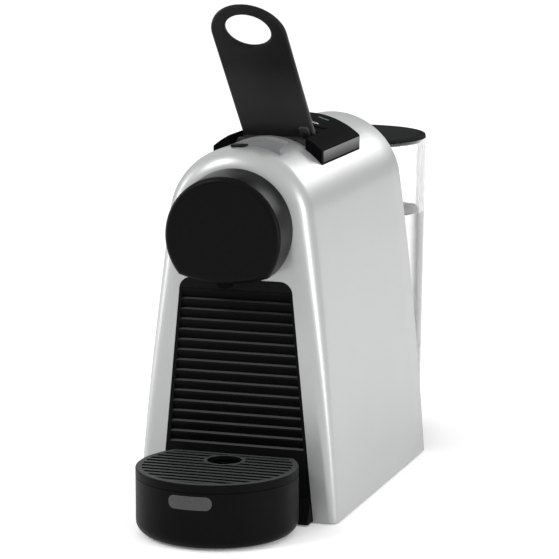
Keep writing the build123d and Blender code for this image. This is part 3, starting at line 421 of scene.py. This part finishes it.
def cut(mesh, cutters):
    """A mesh with the cutters taken away from it."""
    body = bpy.data.objects.new("cut_body", mesh)
    scene.collection.objects.link(body)
    tools = []
    for i, cutter in enumerate(cutters):
        tool = bpy.data.objects.new(f"cutter_{i}", cutter)
        scene.collection.objects.link(tool)
        step = body.modifiers.new(f"cut_{i}", "BOOLEAN")
        step.operation = "DIFFERENCE"
        step.solver = "EXACT"
        step.object = tool
        tools.append(tool)
    bpy.context.view_layer.update()
    depsgraph = bpy.context.evaluated_depsgraph_get()
    result = bpy.data.meshes.new_from_object(body.evaluated_get(depsgraph))
    for scratch in (body, *tools):
        bpy.data.objects.remove(scratch)
    return result


def corner_arc(centre, radius, start, end, steps=8):
    """Points of a round corner between two angles in degrees."""
    return [
        (
            centre[0] + radius * math.cos(math.radians(start + (end - start) * i / steps)),
            centre[1] + radius * math.sin(math.radians(start + (end - start) * i / steps)),
        )
        for i in range(steps + 1)
    ]


def rounded_rectangle(width, height, radius, centre=(0.0, 0.0)):
    """A rounded rectangle's outline, counter-clockwise."""
    x, y = width / 2 - radius, height / 2 - radius
    points = []
    for sx, sy, start in ((1, 1, 0), (-1, 1, 90), (-1, -1, 180), (1, -1, 270)):
        middle = (centre[0] + sx * x, centre[1] + sy * y)
        points += corner_arc(middle, radius, start, start + 90, 6)
    return points


# ---- the arched shell, with a rim that softens towards the crown ---------------------------
SHELL_LOW, SHELL_HIGH = [[c / MM for c in corner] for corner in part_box("outer_shell")]
SHELL_FRONT, SHELL_REAR, SHELL_BASE = SHELL_LOW[1], SHELL_HIGH[1], SHELL_LOW[2]
CROWN_RADIUS = 39.7
CROWN_Z = SHELL_HIGH[2] - CROWN_RADIUS
SHOULDER = math.radians(7.6)
FLANK_RADIUS = 2330.0
FLANK_CENTRE = (
    (CROWN_RADIUS - FLANK_RADIUS) * math.cos(SHOULDER),
    CROWN_Z + (CROWN_RADIUS - FLANK_RADIUS) * math.sin(SHOULDER),
)
SHELL_WALL = 2.5
SHELL_FRONT_WALL = 6.0
RIM_BASE = 4.5  # rounding of the front rim at the floor
RIM_CROWN = 12.0  # and over the crown
REAR_RIM = 1.2
OPENING = (42.5, 0.09, 126.6, 7.0)  # half width at the floor, slope, top, corner
DUCT_HOLE = (16.6, 23.0, 3.0, 140.5)
SLOT_RIGHT = ((19.0, -75.0), (19.0, -67.5), (15.3, -64.5), (13.3, -43.0))
SLOT_BACK = -39.5
BRIDGE_REAR = -34.6
CHANNEL_HALF = 21.1
FLANK_SHARE = 0.36  # of the arch's outline, for each flank
ARCH_STEPS = 168
RIM_STEPS = 12
REAR_STEPS = 3
STATIONS = (60.0, 31.0, -10.0, -40.0, -74.0)  # rings between the two rims
CUT_MARGIN = 3.0  # how far a cutter reaches past the wall
REAR_MARGIN = 5.0  # and past the open rear end
INSERT_ROOM = 0.1  # round the insert
SHELL_SMOOTH = 28.0


def arch_point(share, inset, base):
    """(x, z) on the arch at a share from 0, the right foot, to 1, the left foot."""
    radius = CROWN_RADIUS - inset
    side = 1 if share <= 0.5 else -1
    half = min(share, 1 - share)
    if half < FLANK_SHARE:
        top = CROWN_Z + radius * math.sin(SHOULDER)
        z = base + (top - base) * half / FLANK_SHARE
        reach = math.sqrt((FLANK_RADIUS - inset) ** 2 - (z - FLANK_CENTRE[1]) ** 2)
        return side * (FLANK_CENTRE[0] + reach), z
    angle = SHOULDER + (math.pi / 2 - SHOULDER) * (half - FLANK_SHARE) / (0.5 - FLANK_SHARE)
    return side * radius * math.cos(angle), CROWN_Z + radius * math.sin(angle)


def arch_ring(y, inset, base):
    """A closed ring round the arch; y and inset are numbers or functions of the share."""
    ring = []
    for i in range(ARCH_STEPS + 1):
        share = i / ARCH_STEPS
        depth = inset(share) if callable(inset) else inset
        x, z = arch_point(share, depth, base)
        ring.append((x, y(share) if callable(y) else y, z))
    return ring


def rim_radius(share):
    """The front rim's rounding, small at the feet and large over the crown."""
    height = min(1.0, min(share, 1 - share) / FLANK_SHARE)
    return RIM_BASE + (RIM_CROWN - RIM_BASE) * height * height * (3 - 2 * height)


def shell_blank():
    """The solid arch, with a rounded front rim and a small rear one."""
    rings = []
    for i in range(REAR_STEPS + 1):
        turn = math.pi / 2 * i / REAR_STEPS
        rings.append(arch_ring(
            SHELL_REAR - REAR_RIM * (1 - math.cos(turn)), REAR_RIM * (1 - math.sin(turn)), SHELL_BASE
        ))
    for y in STATIONS:
        rings.append(arch_ring(y, 0.0, SHELL_BASE))
    for i in range(RIM_STEPS + 1):
        turn = math.pi / 2 * i / RIM_STEPS
        rings.append(arch_ring(
            lambda share: SHELL_FRONT + rim_radius(share) * (1 - math.sin(turn)),
            lambda share: rim_radius(share) * (1 - math.cos(turn)),
            SHELL_BASE,
        ))
    rings.append(arch_ring(SHELL_FRONT, lambda share: rim_radius(share) + 0.5, SHELL_BASE))
    return loft_mesh("shell_blank", rings)


def across(u, v, w):
    """Front outlines: (x, z) at a depth y."""
    return (u, w, v)


def plan(u, v, w):
    """Plan outlines: (x, y) at a height."""
    return (u, v, w)


def opening_outline():
    """The front opening: leaning sides and round upper corners."""
    half, slope, top, radius = OPENING
    low = SHELL_BASE - CUT_MARGIN
    lean = math.degrees(math.atan(slope))
    x = half - slope * top - radius
    arc = corner_arc((x, top - radius), radius, -lean, 90)
    right = [(half - slope * low, low)] + arc
    return right + [(-x, z) for x, z in reversed(right)]


def slot_outline():
    """The capsule slot in plan, with its arched rear edge."""
    rear = SLOT_RIGHT[-1]
    sagitta = SLOT_BACK - rear[1]
    radius = (rear[0] ** 2 + sagitta**2) / (2 * sagitta)
    spread = math.degrees(math.asin(rear[0] / radius))
    arc = corner_arc((0, SLOT_BACK - radius), radius, 90 - spread, 90 + spread, 16)
    left = [(-x, y) for x, y in reversed(SLOT_RIGHT[:-1])]
    return list(SLOT_RIGHT[:-1]) + arc + left


def insert_outline():
    """The insert's place in plan, without the crown's strip behind the slot."""
    low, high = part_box("top_insert")
    x, rear = high[0] / MM + INSERT_ROOM, high[1] / MM + INSERT_ROOM
    front = low[1] / MM - INSERT_ROOM
    return [
        (x, front), (x, rear), (-x, rear), (-x, front), (-CHANNEL_HALF, front),
        (-CHANNEL_HALF, BRIDGE_REAR), (CHANNEL_HALF, BRIDGE_REAR), (CHANNEL_HALF, front),
    ]


def add_shell():
    """The silver shell stands for the CAD's, which has one constant rim rounding."""
    cavity = loft_mesh("cavity", [
        arch_ring(y, SHELL_WALL, SHELL_BASE - CUT_MARGIN)
        for y in (SHELL_REAR + REAR_MARGIN, SHELL_FRONT + SHELL_FRONT_WALL)
    ])
    front = (SHELL_FRONT - CUT_MARGIN, SHELL_FRONT + SHELL_FRONT_WALL + CUT_MARGIN)
    crown = (CROWN_Z, CROWN_Z + CROWN_RADIUS + CUT_MARGIN)
    width, height, radius, middle = DUCT_HOLE
    mesh = cut(shell_blank(), [
        cavity,
        prism(opening_outline(), across, *front),
        prism(rounded_rectangle(width, height, radius, (0, middle)), across, *front),
        prism(slot_outline(), plan, *crown),
        prism(insert_outline(), plan, *crown),
    ])
    silver = MATERIALS["silver_shell"]
    shell = finish_piece("shell_skin", mesh, silver, "housing", SHELL_SMOOTH)
    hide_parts("outer_shell")


# ---- water in the tank ---------------------------------------------------------------------
TANK_LOW, TANK_HIGH = [[c / MM for c in corner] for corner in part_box("water_tank")]
TANK_RADIUS = TANK_HIGH[0]
TANK_Y = TANK_HIGH[1] - TANK_RADIUS
TANK_WALL = 2.5
TANK_DRAFT = math.tan(math.radians(0.8))
WATER_GAP = 0.12
MENISCUS = ((1.0, 0.0), (0.55, 0.25), (0.2, 0.8), (0.0, 1.8))  # rise, and distance from the wall
TANK_STEPS = 96
WATER_ROWS = 8
FLOOR_GAP = 0.2  # between the water and the tank's floor


def tank_ring(z, extra):
    """The tank's inside at a height: round behind, flat in front."""
    shrink = (TANK_HIGH[2] - z) * TANK_DRAFT + TANK_WALL + WATER_GAP + extra
    radius = TANK_RADIUS - shrink
    flat = TANK_LOW[1] + shrink
    half = math.acos((flat - TANK_Y) / radius)
    ring = []
    for i in range(TANK_STEPS + 1):
        angle = math.pi / 2 - half + 2 * half * i / TANK_STEPS
        ring.append((radius * math.cos(angle), TANK_Y + radius * math.sin(angle), z))
    return ring


def add_water():
    """Water up to its level, creeping up the wall at its edge."""
    def build(shape):
        floor = TANK_LOW[2] + TANK_WALL + FLOOR_GAP
        rings = [tank_ring(floor, 0.0)]
        for i in range(1, WATER_ROWS):
            rings.append(tank_ring(floor + (WATER_LEVEL - floor) * i / WATER_ROWS, 0.0))
        for rise, inward in MENISCUS:
            rings.append([(x, y, z + rise) for x, y, z in tank_ring(WATER_LEVEL, inward)])
        loft(shape, rings)

    new_piece("tank_water", build, WATER, "tank")


# ---- panes on the insert's sides, button symbols, indicator, hinge boss --------------------
INSERT_HIGH = [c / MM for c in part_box("top_insert")[1]]
EMBED = 0.1  # how deep the foot of a raised plate sits in what carries it
PANE = (65.0, 6.0, 0.9)  # length, height, corner
PANE_AT = (-3.8, 184.5)
PANE_THICK = (0.25, 0.1)  # thickness and chamfer, as in the next ones
INDICATOR_SHAPE = (6.0, 1.4, 0.65)  # length, width, corner
INDICATOR_AT = (13.0, 19.0)
INDICATOR_THICK = (0.22, 0.06)
SYMBOLS = (  # button, its body, half width and depth of the cup
    ("button_espresso", "espresso_button", 1.2, 1.5),
    ("button_lungo", "lungo_button", 1.6, 2.1),
)
SYMBOL_LIFT = 0.5  # how proud of the panel the buttons stand
SYMBOL_LINE = 0.36
BOWL_SHARE = 0.8  # radius of the cup's bottom, of its half width
BRIM = 0.3  # how far the cup's brim sticks out
HANDLE_RADIUS = 0.65
HANDLE_LINE = 0.3
PANEL_RADIUS = 46.0
PANEL_CENTRE = INSERT_HIGH[2] - PANEL_RADIUS


def raised_plate(shape, outline, place, height, edge):
    """A thin plate with a chamfered edge; place(u, v, w) -> point."""
    middle = [sum(p[i] for p in outline) / len(outline) for i in (0, 1)]
    size = max(abs(p[i] - middle[i]) for p in outline for i in (0, 1))
    shrink = 1 - edge / size
    top = [(middle[0] + (u - middle[0]) * shrink, middle[1] + (v - middle[1]) * shrink)
           for u, v in outline]
    loft(shape, [
        [place(u, v, 0.0) for u, v in outline],
        [place(u, v, height - edge) for u, v in outline],
        [place(u, v, height) for u, v in top],
    ])


def add_panes():
    """A satin pane on each side of the insert, lighter towards its top by a painted highlight."""
    outline = rounded_rectangle(*PANE, PANE_AT)
    for name, sign in (("side_pane_right", 1), ("side_pane_left", -1)):
        def build(shape):
            face = sign * (INSERT_HIGH[0] - EMBED)
            raised_plate(shape, outline, lambda u, v, w: (face + sign * w, u, v), *PANE_THICK)

        new_piece(name, build, SIDE_PANE, "housing", 20)


def on_panel(lift):
    """Places a plan point on the insert's arched top."""
    def place(u, v, w):
        radius = PANEL_RADIUS + lift + w
        return (u, v, PANEL_CENTRE + math.sqrt(radius**2 - u**2))
    return place


def ribbon(shape, path, width, place, thick=0.06):
    """A printed line of constant width along an open path."""
    left, right = [], []
    for i, (u, v) in enumerate(path):
        a, b = path[max(i - 1, 0)], path[min(i + 1, len(path) - 1)]
        du, dv = b[0] - a[0], b[1] - a[1]
        length = math.hypot(du, dv)
        nu, nv = -dv / length * width / 2, du / length * width / 2
        left.append((u + nu, v + nv))
        right.append((u - nu, v - nv))
    rings = []
    for (lu, lv), (ru, rv) in zip(left, right):
        rings.append([place(lu, lv, 0), place(ru, rv, 0), place(ru, rv, thick), place(lu, lv, thick)])
    loft(shape, rings)


def add_symbols():
    """A small cup on the espresso button and a larger one on the lungo button."""
    for node, body, half, depth in SYMBOLS:
        low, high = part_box(node)
        x, y = (low[0] + high[0]) / 2 / MM, (low[1] + high[1]) / 2 / MM
        place = on_panel(SYMBOL_LIFT)
        bowl = half * BOWL_SHARE
        rim = y + depth / 2

        def build(shape):
            base = corner_arc((x, rim - depth + bowl), bowl, 180, 360, 12)
            ribbon(shape, [(x - half, rim)] + base + [(x + half, rim)], SYMBOL_LINE, place)
            ribbon(shape, [(x - half - BRIM, rim), (x + half + BRIM, rim)], SYMBOL_LINE, place)
            ribbon(shape, corner_arc((x + half, y), HANDLE_RADIUS, 80, -80, 10), HANDLE_LINE, place)

        new_piece(f"{node}_symbol", build, PRINT_WHITE, body)


def add_indicator():
    """A green light pipe near the panel's rear edge."""
    def build(shape):
        outline = rounded_rectangle(*INDICATOR_SHAPE, INDICATOR_AT)
        raised_plate(shape, outline, on_panel(-EMBED), *INDICATOR_THICK)

    new_piece("panel_indicator", build, INDICATOR, "housing")


PIVOT = (-26.6, 186.0)
LEVER_RAISED = math.radians(49.4)
LEVER_UNDER = 9.57
BOSS = (5.6, 8.4, 1.4)  # width, length, corner
BOSS_AT = (15.4, 4.2)
BOSS_THICK = (1.2, 0.5)


def on_lever(x, along, proud):
    """A point on the raised lever's front face: across, up along it, and out from it."""
    out = LEVER_UNDER - proud
    y = PIVOT[0] - along * math.cos(LEVER_RAISED) + out * math.sin(LEVER_RAISED)
    z = PIVOT[1] + along * math.sin(LEVER_RAISED) + out * math.cos(LEVER_RAISED)
    return (x, y, z)


def add_hinge_boss():
    """The hinge's boss at the right of the lever's foot."""
    def build(shape):
        outline = rounded_rectangle(*BOSS, BOSS_AT)
        raised_plate(shape, outline, lambda u, v, w: on_lever(u, v, w - EMBED), *BOSS_THICK)

    new_piece("hinge_boss", build, MATERIALS["frame_plastic"], "lever", 50)


add_camera()
add_lights()
add_floor()
dress_frame()
add_shell()
add_water()
add_panes()
add_symbols()
add_indicator()
add_hinge_boss()
scene.view_settings.view_transform = "Standard"
